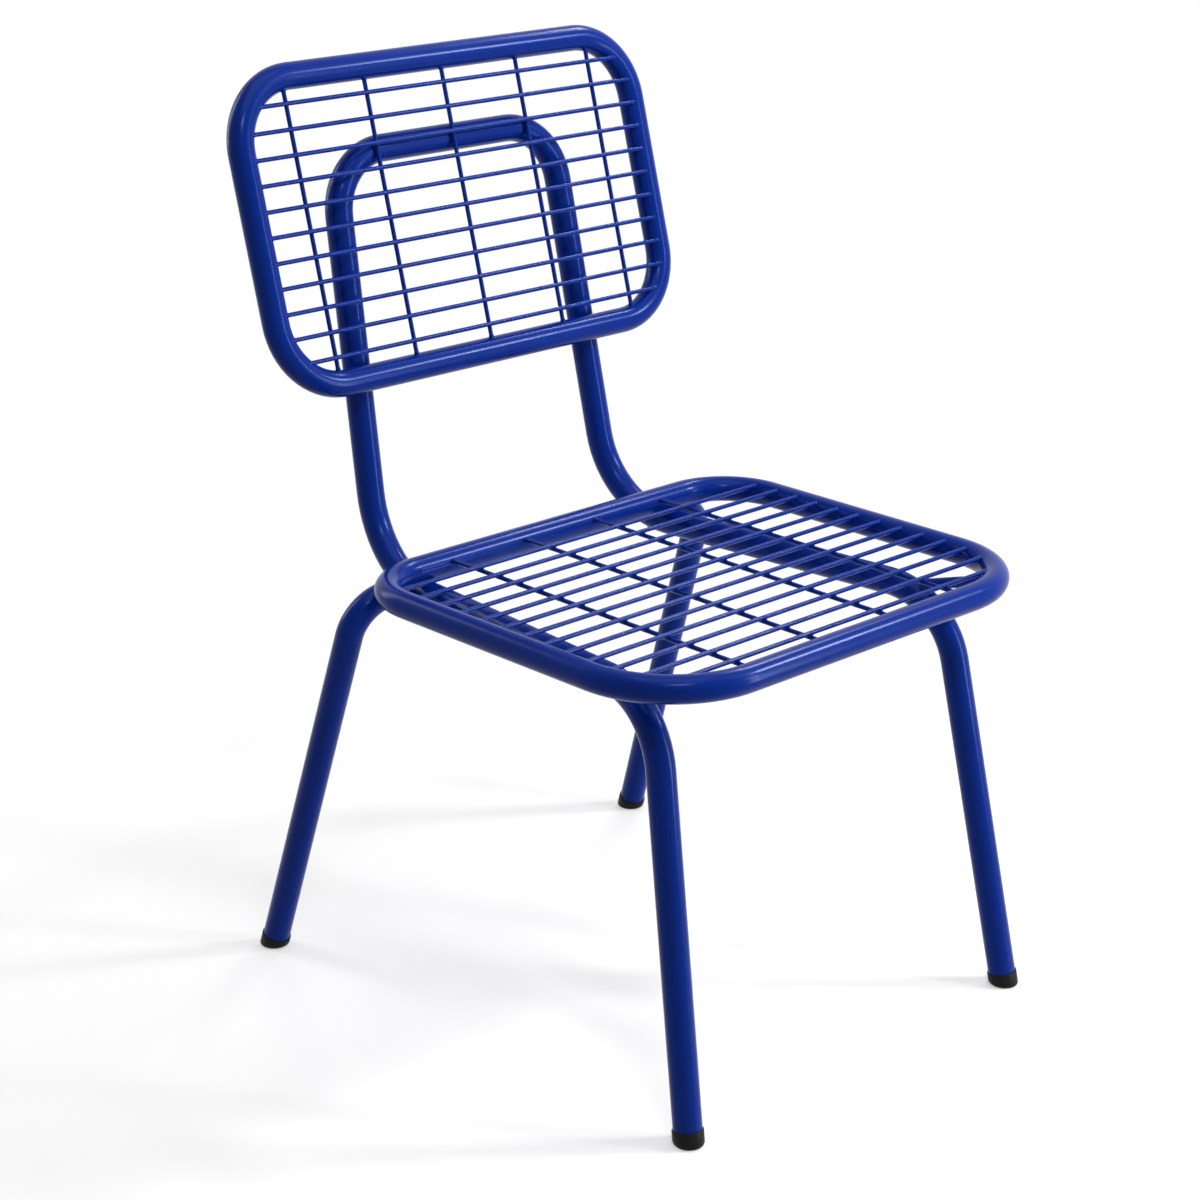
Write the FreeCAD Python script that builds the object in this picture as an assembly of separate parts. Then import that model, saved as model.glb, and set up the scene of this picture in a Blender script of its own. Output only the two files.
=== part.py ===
import FreeCAD, Part
import math
import os

# Wire mesh chair: a welded tube frame with a wire seat and a wire back.
# Millimetres, +Z up, the chair looks along -Y, X is side to side.

V = FreeCAD.Vector

# Driving values, read from the photo and tied to the frame tube.

# Round tube of the frame and of the two panel rings.
frame_tube_d = 25.0
ring_tube_d = 24.0
tube_wall = 1.5
vent_hole_d = 5.0

# Wire of the two panels.
wire_d = 4.0

# Seat ring, outside sizes, level.
seat_width = 477.5
seat_depth = 404.5
seat_front_bend = 88.0
seat_rear_bend = 62.0
seat_ring_z = 390.5

# Seat wires: side to side on top, front to back under them. The gaps run from
# the axis of the ring tube to the axis of the nearest wire.
seat_cross_count = 13
seat_cross_rear_gap = 49.0
seat_cross_front_gap = 21.0
seat_cross_lift = 8.0
seat_long_count = 4
seat_long_side_gap = 98.0

# Main tube: front feet, knees, rails, uprights and the arch of the back. Places
# along the chair are set from the axes of the front and rear of the seat ring.
front_foot_x = 204.5
front_foot_out = 5.5
front_knee_x = 179.0
front_knee_in = 63.0
front_knee_bend = 73.0
upright_root_x = 144.5
upright_root_out = 74.0
upright_lean_deg = 10.8
upright_bend = 89.0
arch_x = 128.5
arch_z = 733.0
arch_bend = 57.0

# Rear legs.
rear_foot_x = 233.5
rear_foot_out = 137.5
rear_knee_x = 214.0
rear_knee_out = 20.0
rear_knee_bend = 34.0
rear_joint_out = 24.0

# Back ring, outside sizes; its lean follows from where it rests.
back_width = 484.5
back_height = 293.5
back_bend = 62.0
back_bottom_z = 545.5

# Back wires: side to side in front, upright ones behind them, with gaps as
# in the seat.
back_cross_count = 11
back_cross_end_gap = 23.8
back_wire_lift = 5.0
back_long_count = 5
back_long_side_gap = 52.3

# Foot caps.
cap_wall = 1.1
cap_fit = 0.05
cap_floor = 4.0
cap_height = 16.0
cap_round = 2.5

# Stays from the front knees to the corners of the seat ring.
stay_d = 10.0
stay_rise = 6.0
stay_inset_x = 6.0
stay_inset_y = 22.0

# Weld beads where tubes cross.
bead_reach = 5.5
bead_heart = 1.6

# Sizes that follow from the driving values.
frame_r = frame_tube_d / 2
ring_r = ring_tube_d / 2
wire_r = wire_d / 2
seat_half_x = seat_width / 2 - ring_r
seat_half_y = seat_depth / 2 - ring_r
back_half_x = back_width / 2 - ring_r
back_half_v = back_height / 2 - ring_r
rail_z = seat_ring_z - ring_r - frame_r
lean = math.radians(upright_lean_deg)
front_foot_y = -seat_half_y - front_foot_out
front_knee_y = -seat_half_y + front_knee_in
upright_root_y = seat_half_y + upright_root_out
rear_foot_y = seat_half_y + rear_foot_out
rear_knee_y = seat_half_y + rear_knee_out
rear_joint_y = seat_half_y + rear_joint_out


def upright_point(z):
    """Point on the axis of the right upright, which leans back and inward."""
    part = (z - rail_z) / (arch_z - rail_z)
    x = upright_root_x + (arch_x - upright_root_x) * part
    return V(x, upright_root_y + (z - rail_z) * math.tan(lean), z)


def back_frame():
    """Centre, up direction and forward direction of the back ring."""
    low_gap = frame_r + ring_r
    high_gap = frame_r + wire_r - back_wire_lift
    forward = V(0, -math.cos(lean), math.sin(lean))
    low_axis_z = back_bottom_z - low_gap * math.sin(lean)
    low = V(0, upright_point(low_axis_z).y, low_axis_z) + forward * low_gap
    span = (arch_z - low_axis_z) / math.cos(lean)
    extra = math.acos(high_gap / math.hypot(low_gap, span)) - math.atan2(span, low_gap)
    tilt = lean + extra
    up = V(0, math.sin(tilt), math.cos(tilt))
    ahead = V(0, -math.cos(tilt), math.sin(tilt))
    return low + up * back_half_v, up, ahead


def bent_path(points, bends):
    """Straight and arc pieces of a polyline with rounded corners."""
    pieces = []
    start = points[0]
    for i, bend in enumerate(bends):
        corner = points[i + 1]
        into = (corner - points[i]).normalize()
        out = (points[i + 2] - corner).normalize()
        turn = into.getAngle(out)
        reach = bend * math.tan(turn / 2)
        a = corner - into * reach
        b = corner + out * reach
        side = (out - into * into.dot(out)).normalize()
        centre = a + side * bend
        pieces.append(("line", start, a))
        pieces.append(("arc", a, into, centre, into.cross(side), turn))
        start = b
    pieces.append(("line", start, points[-1]))
    return pieces


def rounded_loop(corners, bends):
    """Pieces of a closed loop with one bend radius for each corner."""
    start = (corners[0] + corners[-1]) * 0.5
    return bent_path([start] + corners + [start], bends)


def disc(point, direction, radius, bore):
    face = Part.Face(Part.Wire(Part.makeCircle(radius, point, direction)))
    if bore > 0:
        face = face.cut(Part.Face(Part.Wire(Part.makeCircle(bore, point, direction)))).Faces[0]
    return face


def sweep(pieces, radius, bore=0.0):
    """Round bar, or a tube when a bore is given, along the pieces."""
    solids = []
    for piece in pieces:
        if piece[0] == "line":
            run = piece[2] - piece[1]
            if run.Length > 0.01:
                solids.append(disc(piece[1], run, radius, bore).extrude(run))
        else:
            kind, point, along, centre, axis, turn = piece
            face = disc(point, along, radius, bore)
            solids.append(face.revolve(centre, axis, math.degrees(turn)))
    body = solids[0]
    if len(solids) > 1:
        body = body.multiFuse(solids[1:])
    return body.removeSplitter()


def mirrored(point):
    return V(-point.x, point.y, point.z)


def foot_end(foot, knee):
    """Where the tube of a leg ends inside its cap."""
    along = (knee - foot).normalize()
    return foot + along * (cap_floor + frame_r * math.tan(along.getAngle(V(0, 0, 1))))


front_foot = V(front_foot_x, front_foot_y, 0)
front_knee = V(front_knee_x, front_knee_y, rail_z)
upright_root = upright_point(rail_z)
arch_corner = upright_point(arch_z)
rear_foot = V(rear_foot_x, rear_foot_y, 0)
rear_knee = V(rear_knee_x, rear_knee_y, rail_z)


def rail_point(y):
    """Point on the axis of the right rail."""
    part = (y - front_knee.y) / (upright_root.y - front_knee.y)
    return front_knee + (upright_root - front_knee) * part


def main_path():
    right = [foot_end(front_foot, front_knee), front_knee, upright_root, arch_corner]
    left = [mirrored(p) for p in reversed(right)]
    bends = [front_knee_bend, upright_bend, arch_bend]
    return bent_path(right + left, bends + bends[::-1])


def leg_path(side):
    points = [foot_end(rear_foot, rear_knee), rear_knee, rail_point(rear_joint_y)]
    if side < 0:
        points = [mirrored(p) for p in points]
    return bent_path(points, [rear_knee_bend])


def seat_path():
    x = seat_half_x
    y = seat_half_y
    corners = [V(x, -y, seat_ring_z), V(x, y, seat_ring_z),
               V(-x, y, seat_ring_z), V(-x, -y, seat_ring_z)]
    return rounded_loop(corners, [seat_front_bend, seat_rear_bend, seat_rear_bend, seat_front_bend])


def back_path():
    centre, up, ahead = back_frame()
    corners = [centre + V(back_half_x * sx, 0, 0) + up * (back_half_v * sv)
               for sx, sv in ((1, -1), (1, 1), (-1, 1), (-1, -1))]
    return rounded_loop(corners, [back_bend] * 4)


def vent(point, direction):
    """Small hole that lets the coating drain, through one wall only."""
    return Part.makeCylinder(vent_hole_d / 2, ring_tube_d * 0.7, point, direction)


def biggest(shape):
    return max(shape.Solids, key=lambda s: s.Volume)


def bar(a, b, diameter, cutters):
    """Round bar between two points, its ends shaped to the tubes it meets."""
    body = Part.makeCylinder(diameter / 2, (b - a).Length, a, b - a)
    return biggest(body.cut(cutters))


def make_main_frame():
    return sweep(main_path(), frame_r, frame_r - tube_wall)


def make_rear_leg(side, main_full):
    leg = sweep(leg_path(side), frame_r, frame_r - tube_wall)
    return biggest(leg.cut(main_full))


def make_seat_ring():
    ring = sweep(seat_path(), ring_r, ring_r - tube_wall)
    return biggest(ring.cut(vent(V(0, -seat_half_y, seat_ring_z), V(0, 0, -1))))


def make_back_ring():
    centre, up, ahead = back_frame()
    ring = sweep(back_path(), ring_r, ring_r - tube_wall)
    return biggest(ring.cut(vent(centre - up * back_half_v, up * -1)))


def make_seat_cross(index, seat_full):
    rear = seat_half_y - seat_cross_rear_gap
    front = -seat_half_y + seat_cross_front_gap
    y = rear + (front - rear) * index / (seat_cross_count - 1)
    z = seat_ring_z + seat_cross_lift
    return bar(V(-seat_half_x, y, z), V(seat_half_x, y, z), wire_d, [seat_full])


def make_seat_long(index, seat_full):
    outer = seat_half_x - seat_long_side_gap
    x = outer * (2 * index / (seat_long_count - 1) - 1)
    z = seat_ring_z + seat_cross_lift - wire_d
    return bar(V(x, -seat_half_y, z), V(x, seat_half_y, z), wire_d, [seat_full])


def make_back_cross(index, back_full):
    centre, up, ahead = back_frame()
    outer = back_half_v - back_cross_end_gap
    v = outer * (1 - 2 * index / (back_cross_count - 1))
    middle = centre + up * v + ahead * (back_wire_lift + wire_d)
    reach = V(back_half_x, 0, 0)
    return bar(middle - reach, middle + reach, wire_d, [back_full])


def make_back_long(index, back_full):
    centre, up, ahead = back_frame()
    outer = back_half_x - back_long_side_gap
    x = outer * (2 * index / (back_long_count - 1) - 1)
    middle = centre + V(x, 0, 0) + ahead * back_wire_lift
    reach = up * back_half_v
    return bar(middle - reach, middle + reach, wire_d, [back_full])


def make_foot_cap(foot, knee):
    """Cup on the end of a leg, cut level where it stands on the floor."""
    along = (knee - foot).normalize()
    end = foot_end(foot, knee)
    cup_r = frame_r + cap_fit + cap_wall
    base = foot - along * cup_r
    length = (end - base).Length - cap_floor + cap_height
    cup = Part.makeCylinder(cup_r, length, base, along)
    block = 8 * cup_r
    floor = Part.makeBox(block, block, block, V(foot.x - block / 2, foot.y - block / 2, -block))
    cup = cup.cut(floor)
    sole = [e for e in cup.Edges if e.BoundBox.ZMax < 0.01]
    cup = cup.makeFillet(cap_round, sole)
    bore = Part.makeCylinder(frame_r + cap_fit, length, end, along)
    return biggest(cup.cut(bore))


def make_stay(side, cutters):
    """Short bar that carries a front corner of the seat ring."""
    low = V(front_knee_x - stay_inset_x, front_knee_y + stay_inset_y, rail_z + stay_rise)
    corner = V(seat_half_x - seat_front_bend, -seat_half_y + seat_front_bend, seat_ring_z)
    out = V(1, -1, 0).normalize() * seat_front_bend
    high = corner + out - V(0, 0, ring_r - stay_rise)
    if side < 0:
        low = mirrored(low)
        high = mirrored(high)
    return bar(low, high, stay_d, cutters)


def make_bead(point, across, cutters):
    """Weld around the point where two crossing tubes touch."""
    across = V(across).normalize()
    ball = Part.makeSphere(bead_reach, point)
    heart = Part.makeCylinder(bead_heart, bead_reach * 2, point - across * bead_reach, across)
    return biggest(ball.cut(cutters + [heart]))


def build():
    main_full = sweep(main_path(), frame_r)
    seat_full = sweep(seat_path(), ring_r)
    back_full = sweep(back_path(), ring_r)
    parts = {}
    parts["main_frame"] = make_main_frame()
    parts["seat_ring"] = make_seat_ring()
    parts["back_ring"] = make_back_ring()
    for side, name in ((-1, "left"), (1, "right")):
        front_f = front_foot if side > 0 else mirrored(front_foot)
        front_k = front_knee if side > 0 else mirrored(front_knee)
        rear_f = rear_foot if side > 0 else mirrored(rear_foot)
        rear_k = rear_knee if side > 0 else mirrored(rear_knee)
        parts["rear_leg_" + name] = make_rear_leg(side, main_full)
        parts["foot_cap_front_" + name] = make_foot_cap(front_f, front_k)
        parts["foot_cap_rear_" + name] = make_foot_cap(rear_f, rear_k)
        parts["seat_stay_" + name] = make_stay(side, [main_full, seat_full])
        rear = rail_point(seat_half_y)
        touch = V(side * rear.x, rear.y, rail_z + frame_r)
        parts["weld_seat_" + name] = make_bead(touch, V(0, 0, 1), [main_full, seat_full])
        forward = V(0, -math.cos(lean), math.sin(lean))
        axis = upright_point(back_bottom_z - (frame_r + ring_r) * math.sin(lean))
        touch = V(side * axis.x, axis.y, axis.z) + forward * frame_r
        parts["weld_back_" + name] = make_bead(touch, forward, [main_full, back_full])
    for i in range(seat_cross_count):
        parts["seat_cross_wire_%02d" % (i + 1)] = make_seat_cross(i, seat_full)
    for i in range(seat_long_count):
        parts["seat_long_wire_%d" % (i + 1)] = make_seat_long(i, seat_full)
    for i in range(back_cross_count):
        parts["back_cross_wire_%02d" % (i + 1)] = make_back_cross(i, back_full)
    for i in range(back_long_count):
        parts["back_upright_wire_%d" % (i + 1)] = make_back_long(i, back_full)
    return parts


def export(parts):
    box = FreeCAD.BoundBox()
    for shape in parts.values():
        box.add(shape.optimalBoundingBox(False))
    shift = V(0, -(box.YMin + box.YMax) / 2, 0)
    os.makedirs("parts", exist_ok=True)
    for name, shape in parts.items():
        shape.translate(shift)
        shape.exportStep("parts/%s.step" % name)
        print("%-22s %10.1f mm3  %s" % (name, shape.Volume, shape.isValid()))
    print("box x %.1f..%.1f y %.1f..%.1f z %.1f..%.1f shift %.2f" % (
        box.XMin, box.XMax, box.YMin, box.YMax, box.ZMin, box.ZMax, shift.y))


export(build())
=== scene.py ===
import math
import random

import bmesh
import bpy
from mathutils import Matrix, Vector, noise

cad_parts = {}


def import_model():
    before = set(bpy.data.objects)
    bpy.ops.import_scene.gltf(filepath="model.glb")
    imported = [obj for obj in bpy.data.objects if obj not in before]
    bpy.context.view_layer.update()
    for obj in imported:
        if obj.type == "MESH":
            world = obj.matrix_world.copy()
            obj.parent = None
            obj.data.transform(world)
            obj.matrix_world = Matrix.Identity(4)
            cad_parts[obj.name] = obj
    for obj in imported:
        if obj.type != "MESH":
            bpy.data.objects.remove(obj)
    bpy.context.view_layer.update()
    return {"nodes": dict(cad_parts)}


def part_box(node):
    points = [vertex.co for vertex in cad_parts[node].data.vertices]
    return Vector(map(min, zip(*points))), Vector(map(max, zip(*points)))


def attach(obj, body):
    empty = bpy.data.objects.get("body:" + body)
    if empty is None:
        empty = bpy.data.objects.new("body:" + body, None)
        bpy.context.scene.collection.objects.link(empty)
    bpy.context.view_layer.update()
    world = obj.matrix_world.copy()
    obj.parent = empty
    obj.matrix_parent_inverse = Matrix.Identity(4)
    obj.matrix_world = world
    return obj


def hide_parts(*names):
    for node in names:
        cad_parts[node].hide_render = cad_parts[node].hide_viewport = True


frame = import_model()
nodes = frame["nodes"]

# Sizes in metres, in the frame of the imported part.
MM = 0.001

# Camera, for a square frame of 1200 pixels.
FRAME_PX = 1200
FOCAL_PX = 2720
SENSOR_MM = 36.0
VIEW_YAW = math.radians(-43.36)
VIEW_PITCH = math.radians(19.7)
VIEW_DISTANCE = 2.372
AIM_ASIDE = -87.1 * MM
AIM_HEIGHT = 372.5 * MM

# Radii of the main tube and the wires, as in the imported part.
FRAME_R = 12.5 * MM
WIRE_R = 2.0 * MM

# Lumps of weld: at wire ends, where wires cross, and where the arch carries the back wires.
END_WELD_R = 2.5 * MM
END_WELD_FLAT = 0.9
END_WELD_LOW = 0.8
SPOT_WELD = Vector((2.3, 2.3, 1.2)) * MM
ARCH_WELD = Vector((2.6, 3.6, 1.6)) * MM
LUMP_SEED = 7
LUMP_SWELL = 0.10
LUMP_GRAIN = 1.6
LUMP_SPAN = 50

# How far a lump sits in from the end of its wire, and how far behind the wire's axis.
SEAT_CROSS_IN, SEAT_CROSS_UNDER = 2.6 * MM, 0.5 * MM
SEAT_LONG_IN, SEAT_LONG_UNDER = 1.2 * MM, 0.3 * MM
BACK_CROSS_IN, BACK_CROSS_BEHIND = 3.0 * MM, 0.5 * MM
BACK_UPRIGHT_IN, BACK_UPRIGHT_BEHIND = 0.6 * MM, 0.3 * MM

# Beads around the shaped ends of the rear legs.
BEAD_R = 2.0 * MM
BEAD_RIPPLE = 2.4 * MM
BEAD_SWELL = 0.13
BEAD_SIDES = 10
BEAD_STEPS = 120

# Foot caps: heights are distances along the leg from where its axis meets the floor.
CAP_R = 13.45 * MM
CAP_BELOW = -12.0 * MM
CAP_INSIDE = 6.5 * MM
CAP_TOP = 12.8 * MM
CAP_LIP = 0.5 * MM
CAP_LIP_BEND = 0.3
CAP_CHAMFER = 2.8 * MM
CAP_CHAMFER_STEPS = 3
CAP_CHAMFER_PROFILE = 0.4
CAP_SIDES = 72
CAP_SHARP = math.radians(35)

# Feet, ends of the rails and knee of a rear leg, measured from the middle of the seat ring.
FRONT_FOOT = Vector((204.5, -195.75, 0.0)) * MM
REAR_FOOT = Vector((233.5, 327.75, 0.0)) * MM
RAIL_FRONT = Vector((179.0, -127.25, 0.0)) * MM
RAIL_REAR = Vector((144.5, 264.25, 0.0)) * MM
LEG_KNEE = Vector((214.0, 210.25, 0.0)) * MM
LEG_JOINT_Y = 214.25 * MM

# Powder coat: two close blues, and the range of its roughness.
COAT_DARK = (0.0006, 0.0165, 0.186)
COAT_LIGHT = (0.001, 0.0195, 0.206)
COAT_ROUGHNESS = (0.2, 0.235)
COAT_SPECULAR = 0.125
COAT_SPECULAR_TINT = (0.46, 0.6, 1.0)
PEEL_DEPTH = 0.0012 * MM
FLOW_DEPTH = 0.003 * MM

# Plastic of the feet.
PLASTIC_DARK = (0.0028, 0.0028, 0.003)
PLASTIC_LIGHT = (0.0048, 0.0048, 0.005)
PLASTIC_ROUGHNESS = (0.42, 0.55)
PLASTIC_SPECULAR = 0.12
SPARK_DEPTH = 0.04 * MM

# Floor and world. The shadow is kept up to SHADOW_ZONE from the chair and gone at WHITE_ZONE.
FLOOR_HALF = 30.0
FLOOR_COLOUR = (0.62, 0.62, 0.622)
FLOOR_ROUGHNESS = 0.4
FLOOR_SPECULAR = 0.2
FLOOR_LIFT = 0.39
SHADOW_ZONE = 0.4
WHITE_ZONE = 1.05
AMBIENT = 0.08

# Soft boxes: name, degrees to the right of the camera, degrees up, distance, size, radiance.
LAMP_AIM_HEIGHT = 0.45
LAMPS = (
    ("top_box", 0, 82, 2.1, (1.6, 1.6), 2.1),
    ("front_box", 8, 50, 2.3, (0.5, 0.14), 60.0),
    ("key_box", 95, 34, 2.2, (0.3, 0.26), 110.0),
    ("soft_box", 85, 50, 2.3, (1.2, 1.0), 1.5),
    ("right_strip", 76, 6, 2.0, (0.16, 1.3), 34.0),
    ("back_box", 150, 47, 2.2, (0.6, 0.1), 60.0),
    ("left_box", -115, 22, 1.9, (0.5, 1.2), 4.5),
)

seat_low, seat_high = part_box("seat_ring")
seat_middle = (seat_low + seat_high) / 2
rail_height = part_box("rear_leg_right")[1].z - FRAME_R


def principled(name):
    """A node material with one Principled shader; gives its tree and shader."""
    material = bpy.data.materials.new(name)
    material.use_nodes = True
    tree = material.node_tree
    return material, tree, tree.nodes["Principled BSDF"]


def add(tree, kind, **values):
    """One shader node with its properties and its input values set."""
    node = tree.nodes.new(kind)
    for key, value in values.items():
        if hasattr(node, key):
            setattr(node, key, value)
        else:
            node.inputs[key.replace("_", " ")].default_value = value
    return node


def grain(tree, scale, detail=2.0, roughness=0.5):
    """Noise in metres of the part's own space."""
    place = add(tree, "ShaderNodeTexCoord")
    cloud = add(tree, "ShaderNodeTexNoise", Scale=scale, Detail=detail, Roughness=roughness)
    tree.links.new(place.outputs["Object"], cloud.inputs["Vector"])
    return cloud.outputs["Fac"]


def spread(tree, source, low, high, start=0.3, end=0.7):
    """Maps a noise to a narrow range of numbers."""
    span = add(tree, "ShaderNodeMapRange")
    span.inputs["From Min"].default_value = start
    span.inputs["From Max"].default_value = end
    span.inputs["To Min"].default_value = low
    span.inputs["To Max"].default_value = high
    tree.links.new(source, span.inputs["Value"])
    return span.outputs["Result"]


def tint(tree, factor, low, high):
    """Mixes two colours by a factor."""
    mix = tree.nodes.new("ShaderNodeMix")
    mix.data_type = "RGBA"
    mix.inputs["A"].default_value = (*low, 1.0)
    mix.inputs["B"].default_value = (*high, 1.0)
    tree.links.new(factor, mix.inputs["Factor"])
    return mix.outputs["Result"]


def bump(tree, height, distance, strength=1.0, under=None):
    """A bump of the given depth in metres, over another one if given."""
    node = add(tree, "ShaderNodeBump", Strength=strength, Distance=distance)
    tree.links.new(height, node.inputs["Height"])
    if under is not None:
        tree.links.new(under, node.inputs["Normal"])
    return node.outputs["Normal"]


def powder_coat():
    """Satin cobalt powder coat: faint blotches and a very fine orange peel."""
    material, tree, shader = principled("blue_powder_coat")
    blotch = spread(tree, grain(tree, 14.0, 3.0), 0.0, 1.0)
    tree.links.new(tint(tree, blotch, COAT_DARK, COAT_LIGHT), shader.inputs["Base Color"])
    satin = spread(tree, grain(tree, 60.0, 3.0), *COAT_ROUGHNESS)
    tree.links.new(satin, shader.inputs["Roughness"])
    peel = bump(tree, grain(tree, 420.0, 1.0), PEEL_DEPTH)
    flow = bump(tree, grain(tree, 70.0, 1.0), FLOW_DEPTH, under=peel)
    tree.links.new(flow, shader.inputs["Normal"])
    shader.inputs["Specular IOR Level"].default_value = COAT_SPECULAR
    shader.inputs["Specular Tint"].default_value = (*COAT_SPECULAR_TINT, 1.0)
    return material


def foot_plastic():
    """Black moulded plastic with a fine spark-eroded grain."""
    material, tree, shader = principled("black_foot_plastic")
    blotch = spread(tree, grain(tree, 45.0, 3.0), 0.0, 1.0)
    tree.links.new(tint(tree, blotch, PLASTIC_DARK, PLASTIC_LIGHT), shader.inputs["Base Color"])
    satin = spread(tree, grain(tree, 220.0, 2.0), *PLASTIC_ROUGHNESS)
    tree.links.new(satin, shader.inputs["Roughness"])
    sparks = bump(tree, grain(tree, 2600.0, 1.0), SPARK_DEPTH)
    tree.links.new(sparks, shader.inputs["Normal"])
    shader.inputs["Specular IOR Level"].default_value = PLASTIC_SPECULAR
    return material


def dress(material, names):
    """Gives CAD nodes their finish."""
    for name in names:
        data = nodes[name].data
        data.materials.clear()
        data.materials.append(material)


def new_piece(name, mesh, material):
    """A finished piece that rides with the chair's one body."""
    data = bpy.data.meshes.new(name)
    mesh.to_mesh(data)
    mesh.free()
    for face in data.polygons:
        face.use_smooth = True
    data.materials.append(material)
    piece = bpy.data.objects.new(name, data)
    bpy.context.scene.collection.objects.link(piece)
    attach(piece, "root")
    return piece


def middle(node):
    """The middle of a node's box."""
    low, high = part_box(node)
    return (low + high) / 2


def blob(mesh, centre, sizes, turn, rng):
    """A small uneven lump of weld under the coat."""
    made = bmesh.ops.create_icosphere(mesh, subdivisions=2, radius=1.0)
    seed = Vector([rng.uniform(0, LUMP_SPAN) for _ in range(3)])
    for vert in made["verts"]:
        swell = 1.0 + LUMP_SWELL * noise.noise(vert.co * LUMP_GRAIN + seed)
        point = Vector([a * b for a, b in zip(vert.co, sizes)]) * swell
        vert.co = turn @ point + centre


def end_weld(mesh, centre, along, height, rng):
    """A lump around the end of a wire that runs along the given direction."""
    sizes = (END_WELD_R, END_WELD_R, END_WELD_R * height)
    blob(mesh, centre, sizes, across(along), rng)


def across(direction):
    """Rotation that takes +Z to the direction."""
    return direction.to_track_quat("Z", "Y").to_matrix()


def seat_welds(rng):
    """Weld lumps where the seat wires end on the ring, and where they cross."""
    mesh = bmesh.new()
    cross = sorted(n for n in nodes if n.startswith("seat_cross_wire"))
    along = sorted(n for n in nodes if n.startswith("seat_long_wire"))
    for name in cross:
        low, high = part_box(name)
        mid = (low + high) / 2
        for x, way in ((low.x, 1), (high.x, -1)):
            centre = Vector((x + way * SEAT_CROSS_IN, mid.y, mid.z - SEAT_CROSS_UNDER))
            end_weld(mesh, centre, Vector((way, 0, 0)), END_WELD_FLAT, rng)
    for name in along:
        low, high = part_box(name)
        mid = (low + high) / 2
        for y, way in ((low.y, 1), (high.y, -1)):
            centre = Vector((mid.x, y + way * SEAT_LONG_IN, mid.z - SEAT_LONG_UNDER))
            end_weld(mesh, centre, Vector((0, way, 0)), END_WELD_LOW, rng)
    for upper in cross:
        for lower in along:
            top = middle(upper)
            centre = Vector((middle(lower).x, top.y, top.z - WIRE_R))
            blob(mesh, centre, SPOT_WELD, Matrix.Identity(3), rng)
    return mesh


def back_axes():
    """Up and forward directions of the back panel."""
    top = middle("back_cross_wire_01")
    bottom = middle("back_cross_wire_11")
    up = (top - bottom).normalized()
    return up, Vector((0, -up.z, up.y))


def back_welds(rng):
    """Weld lumps of the back wires, and three on the arch behind them."""
    mesh = bmesh.new()
    up, ahead = back_axes()
    facing = across(ahead)
    cross = sorted(n for n in nodes if n.startswith("back_cross_wire"))
    upright = sorted(n for n in nodes if n.startswith("back_upright_wire"))
    for name in cross:
        low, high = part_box(name)
        mid = (low + high) / 2
        for x, way in ((low.x, 1), (high.x, -1)):
            centre = Vector((x + way * BACK_CROSS_IN, mid.y, mid.z)) - ahead * BACK_CROSS_BEHIND
            end_weld(mesh, centre, Vector((way, 0, 0)), END_WELD_FLAT, rng)
    for name in upright:
        low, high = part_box(name)
        reach = (high.z - low.z) / 2 / up.z - WIRE_R
        for way in (-1, 1):
            centre = middle(name) + up * way * (reach - BACK_UPRIGHT_IN)
            end_weld(mesh, centre - ahead * BACK_UPRIGHT_BEHIND, up, END_WELD_LOW, rng)
    for name in cross:
        for other in upright:
            mid = middle(name)
            centre = Vector((middle(other).x, mid.y, mid.z)) - ahead * WIRE_R
            blob(mesh, centre, SPOT_WELD, facing, rng)
    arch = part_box("main_frame")[1] - Vector((0, FRAME_R, FRAME_R))
    for other in upright[1:-1]:
        centre = Vector((middle(other).x, arch.y, arch.z)) + ahead * FRAME_R
        blob(mesh, centre, ARCH_WELD, facing, rng)
    return mesh


def saddle(start, along, radius, point, axis, other_radius, count):
    """Closed curve where a round branch, from start along its axis, meets a round tube."""
    side = along.cross(Vector((0, 0, 1))).normalized()
    top = side.cross(along).normalized()
    slope = along.cross(axis)
    a = slope.dot(slope)
    curve = []
    for i in range(count):
        angle = 2 * math.pi * i / count
        rim = start + (side * math.cos(angle) + top * math.sin(angle)) * radius
        offset = (rim - point).cross(axis)
        b = 2 * offset.dot(slope)
        c = offset.dot(offset) - other_radius ** 2
        root = math.sqrt(max(b * b - 4 * a * c, 0.0))
        curve.append(rim + along * ((-b - root) / (2 * a)))
    return curve


def bead(curve, radius, ripple):
    """A rippled weld bead laid along a closed curve."""
    mesh = bmesh.new()
    count = len(curve)
    sides = BEAD_SIDES
    rings = []
    run = 0.0
    for i, point in enumerate(curve):
        before = curve[i - 1]
        after = curve[(i + 1) % count]
        along = (after - before).normalized()
        run += (point - before).length
        side = along.orthogonal().normalized()
        other = along.cross(side)
        size = radius * (1.0 + BEAD_SWELL * math.sin(2 * math.pi * run / ripple))
        ring = []
        for k in range(sides):
            angle = 2 * math.pi * k / sides
            spoke = side * math.cos(angle) + other * math.sin(angle)
            ring.append(mesh.verts.new(point + spoke * size))
        rings.append(ring)
    for i in range(count):
        here = rings[i]
        there = rings[(i + 1) % count]
        turn = min(range(sides), key=lambda k: (there[k].co - here[0].co).length)
        for k in range(sides):
            a, b = here[k], here[(k + 1) % sides]
            c, d = there[(k + 1 + turn) % sides], there[(k + turn) % sides]
            mesh.faces.new((a, b, c, d))
    return mesh


def leg_point(place, side, height):
    """A point of a leg, on the left or right side, at a height above the floor."""
    return Vector((seat_middle.x + place.x * side, seat_middle.y + place.y, height))


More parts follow.
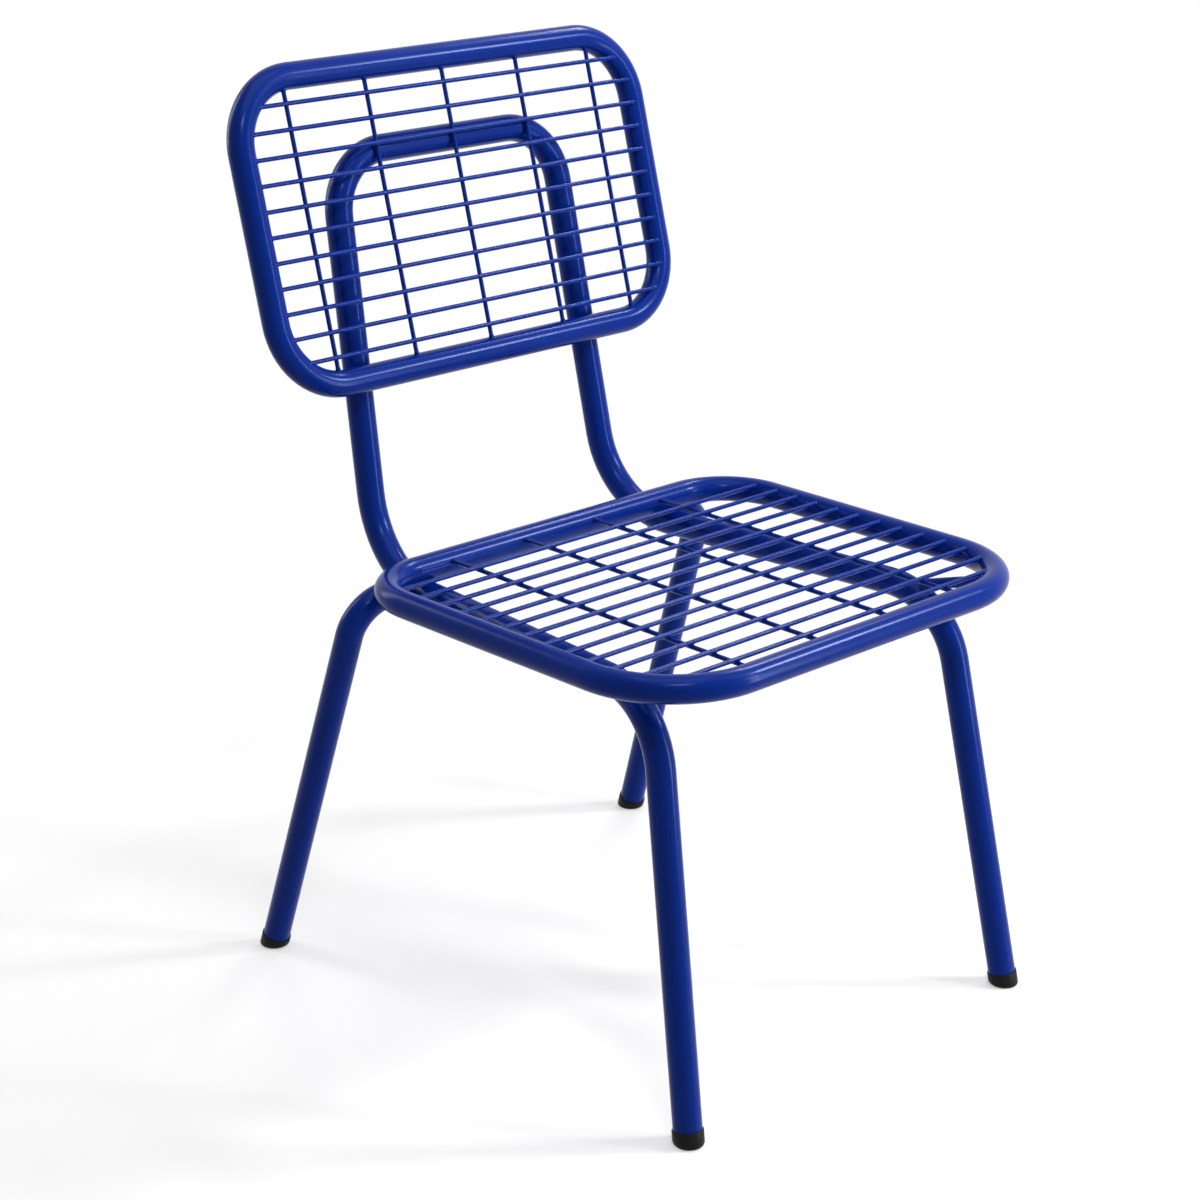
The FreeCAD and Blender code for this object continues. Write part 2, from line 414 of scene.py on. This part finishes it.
def leg_bead(side):
    """The weld around the shaped end of a rear leg on its rail."""
    front = leg_point(RAIL_FRONT, side, rail_height)
    rear = leg_point(RAIL_REAR, side, rail_height)
    share = (LEG_JOINT_Y - RAIL_FRONT.y) / (RAIL_REAR.y - RAIL_FRONT.y)
    joint = front + (rear - front) * share
    knee = leg_point(LEG_KNEE, side, rail_height)
    along = (joint - knee).normalized()
    rail = (rear - front).normalized()
    return saddle(knee, along, FRAME_R, joint, rail, FRAME_R, BEAD_STEPS)


def lathe(outline, sides):
    """A closed round body from an outline that starts and ends on its axis."""
    mesh = bmesh.new()
    rings = []
    for radius, height in outline[1:-1]:
        ring = []
        for k in range(sides):
            angle = 2 * math.pi * k / sides
            spot = (radius * math.cos(angle), radius * math.sin(angle), height)
            ring.append(mesh.verts.new(spot))
        rings.append(ring)
    low = mesh.verts.new((0, 0, outline[0][1]))
    high = mesh.verts.new((0, 0, outline[-1][1]))
    for k in range(sides):
        after = (k + 1) % sides
        mesh.faces.new((low, rings[0][after], rings[0][k]))
        mesh.faces.new((high, rings[-1][k], rings[-1][after]))
        for here, there in zip(rings, rings[1:]):
            mesh.faces.new((here[k], here[after], there[after], there[k]))
    return mesh


def cap_mesh(foot, knee):
    """A moulded cap on the end of a leg: cut level at the floor, with a chamfer and a thin lip."""
    bend = CAP_LIP * CAP_LIP_BEND
    mesh = lathe([
        (0, CAP_BELOW), (CAP_R, CAP_BELOW),
        (CAP_R, CAP_TOP - CAP_LIP), (CAP_R - bend, CAP_TOP - bend), (CAP_R - CAP_LIP, CAP_TOP),
        (FRAME_R, CAP_TOP), (FRAME_R, CAP_INSIDE), (0, CAP_INSIDE)], CAP_SIDES)
    place = Matrix.Translation(foot) @ across(knee - foot).to_4x4()
    bmesh.ops.transform(mesh, matrix=place, verts=mesh.verts)
    cut = bmesh.ops.bisect_plane(
        mesh, geom=mesh.verts[:] + mesh.edges[:] + mesh.faces[:],
        plane_co=(0, 0, 0), plane_no=(0, 0, 1), clear_inner=True)["geom_cut"]
    rim = [e for e in cut if isinstance(e, bmesh.types.BMEdge)]
    bmesh.ops.edgenet_fill(mesh, edges=rim)
    bmesh.ops.bevel(
        mesh, geom=rim, offset=CAP_CHAMFER, segments=CAP_CHAMFER_STEPS,
        profile=CAP_CHAMFER_PROFILE, affect="EDGES")
    bmesh.ops.recalc_face_normals(mesh, faces=mesh.faces)
    return mesh


def build_caps(plastic):
    """The four foot caps; each stands for its CAD node, which is taller than in the photo."""
    for name, side in (("left", -1), ("right", 1)):
        for end, foot, knee in (
                ("front", FRONT_FOOT, RAIL_FRONT), ("rear", REAR_FOOT, LEG_KNEE)):
            mesh = cap_mesh(leg_point(foot, side, 0.0), leg_point(knee, side, rail_height))
            cap = new_piece("moulded_cap_%s_%s" % (end, name), mesh, plastic)
            cap.data.set_sharp_from_angle(angle=CAP_SHARP)
            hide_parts("foot_cap_%s_%s" % (end, name))


def build_details(coat):
    """The welds, which add to the CAD nodes and replace none."""
    rng = random.Random(LUMP_SEED)
    new_piece("seat_wire_welds", seat_welds(rng), coat)
    new_piece("back_wire_welds", back_welds(rng), coat)
    for name, side in (("left", -1), ("right", 1)):
        ring = bead(leg_bead(side), BEAD_R, BEAD_RIPPLE)
        new_piece("leg_weld_" + name, ring, coat)


def camera():
    """The camera fitted to the photo."""
    forward = Vector((-math.sin(VIEW_YAW), math.cos(VIEW_YAW), 0)) * math.cos(VIEW_PITCH)
    forward.z = -math.sin(VIEW_PITCH)
    aside = Vector((math.cos(VIEW_YAW), math.sin(VIEW_YAW), 0))
    aim = Vector((seat_middle.x, seat_middle.y, AIM_HEIGHT)) + aside * AIM_ASIDE
    data = bpy.data.cameras.new("camera")
    data.sensor_width = SENSOR_MM
    data.lens = SENSOR_MM * FOCAL_PX / FRAME_PX
    data.clip_end = 100.0
    eye = bpy.data.objects.new("camera", data)
    eye.location = aim - forward * VIEW_DISTANCE
    eye.rotation_euler = forward.to_track_quat("-Z", "Y").to_euler()
    bpy.context.scene.collection.objects.link(eye)
    bpy.context.scene.camera = eye


def seen_directly(tree):
    """1 for rays of the camera and those that gloss and glass send on, else 0."""
    path = add(tree, "ShaderNodeLightPath")
    total = path.outputs["Is Camera Ray"]
    for name in ("Is Glossy Ray", "Is Transmission Ray"):
        most = add(tree, "ShaderNodeMath", operation="MAXIMUM")
        tree.links.new(total, most.inputs[0])
        tree.links.new(path.outputs[name], most.inputs[1])
        total = most.outputs["Value"]
    return total


def product(tree, one, other):
    """One value times another; each is a socket or a number."""
    node = add(tree, "ShaderNodeMath", operation="MULTIPLY")
    for value, socket in ((one, node.inputs[0]), (other, node.inputs[1])):
        if isinstance(value, float):
            socket.default_value = value
        else:
            tree.links.new(value, socket)
    return node.outputs["Value"]


def floor():
    """Wide pale floor: it keeps the shadow near the chair and turns plain white further out."""
    mesh = bmesh.new()
    bmesh.ops.create_grid(mesh, x_segments=1, y_segments=1, size=FLOOR_HALF)
    data = bpy.data.meshes.new("floor")
    mesh.to_mesh(data)
    mesh.free()
    ground = bpy.data.objects.new("floor", data)
    bpy.context.scene.collection.objects.link(ground)
    material, tree, shader = principled("pale_floor")
    shader.inputs["Base Color"].default_value = (*FLOOR_COLOUR, 1)
    shader.inputs["Roughness"].default_value = FLOOR_ROUGHNESS
    shader.inputs["Specular IOR Level"].default_value = FLOOR_SPECULAR
    seen = seen_directly(tree)
    shader.inputs["Emission Color"].default_value = (1, 1, 1, 1)
    tree.links.new(product(tree, seen, FLOOR_LIFT), shader.inputs["Emission Strength"])
    white = add(tree, "ShaderNodeEmission", Strength=1.0)
    place = add(tree, "ShaderNodeTexCoord")
    away = add(tree, "ShaderNodeVectorMath", operation="LENGTH")
    tree.links.new(place.outputs["Object"], away.inputs[0])
    far = add(tree, "ShaderNodeMapRange", interpolation_type="SMOOTHSTEP")
    far.inputs["From Min"].default_value = SHADOW_ZONE
    far.inputs["From Max"].default_value = WHITE_ZONE
    tree.links.new(away.outputs["Value"], far.inputs["Value"])
    blend = tree.nodes.new("ShaderNodeMixShader")
    tree.links.new(product(tree, seen, far.outputs["Result"]), blend.inputs["Fac"])
    tree.links.new(shader.outputs["BSDF"], blend.inputs[1])
    tree.links.new(white.outputs["Emission"], blend.inputs[2])
    tree.links.new(blend.outputs["Shader"], tree.nodes["Material Output"].inputs["Surface"])
    data.materials.append(material)


def world():
    """White behind the chair, a plain level of light on it."""
    sky = bpy.data.worlds.new("studio")
    bpy.context.scene.world = sky
    sky.use_nodes = True
    tree = sky.node_tree
    back = tree.nodes["Background"]
    back.inputs["Color"].default_value = (1, 1, 1, 1)
    level = spread(tree, seen_directly(tree), AMBIENT, 1.0, 0.0, 1.0)
    tree.links.new(level, back.inputs["Strength"])


def lamp(name, centre, bearing, height, distance, size, radiance):
    """A soft box that looks at the chair; bearing is degrees to the right of the camera."""
    turn = VIEW_YAW + math.radians(bearing - 90)
    level = Vector((math.cos(turn), math.sin(turn), 0)) * math.cos(math.radians(height))
    way = level + Vector((0, 0, math.sin(math.radians(height))))
    data = bpy.data.lights.new(name, "AREA")
    data.shape = "RECTANGLE"
    data.size, data.size_y = size
    data.energy = radiance * math.pi * size[0] * size[1]
    light = bpy.data.objects.new(name, data)
    light.location = centre + way * distance
    light.rotation_euler = (-way).to_track_quat("-Z", "Y").to_euler()
    light.visible_camera = False
    bpy.context.scene.collection.objects.link(light)


def lights():
    """A key box and a tall strip at the right, and boxes on all other sides."""
    centre = Vector((seat_middle.x, seat_middle.y, LAMP_AIM_HEIGHT))
    for name, bearing, height, distance, size, radiance in LAMPS:
        lamp(name, centre, bearing, height, distance, size, radiance)


coat = powder_coat()
plastic = foot_plastic()
dress(coat, [n for n in nodes if not n.startswith("foot_cap")])
build_caps(plastic)
build_details(coat)
camera()
floor()
world()
lights()
bpy.context.scene.view_settings.view_transform = "Standard"
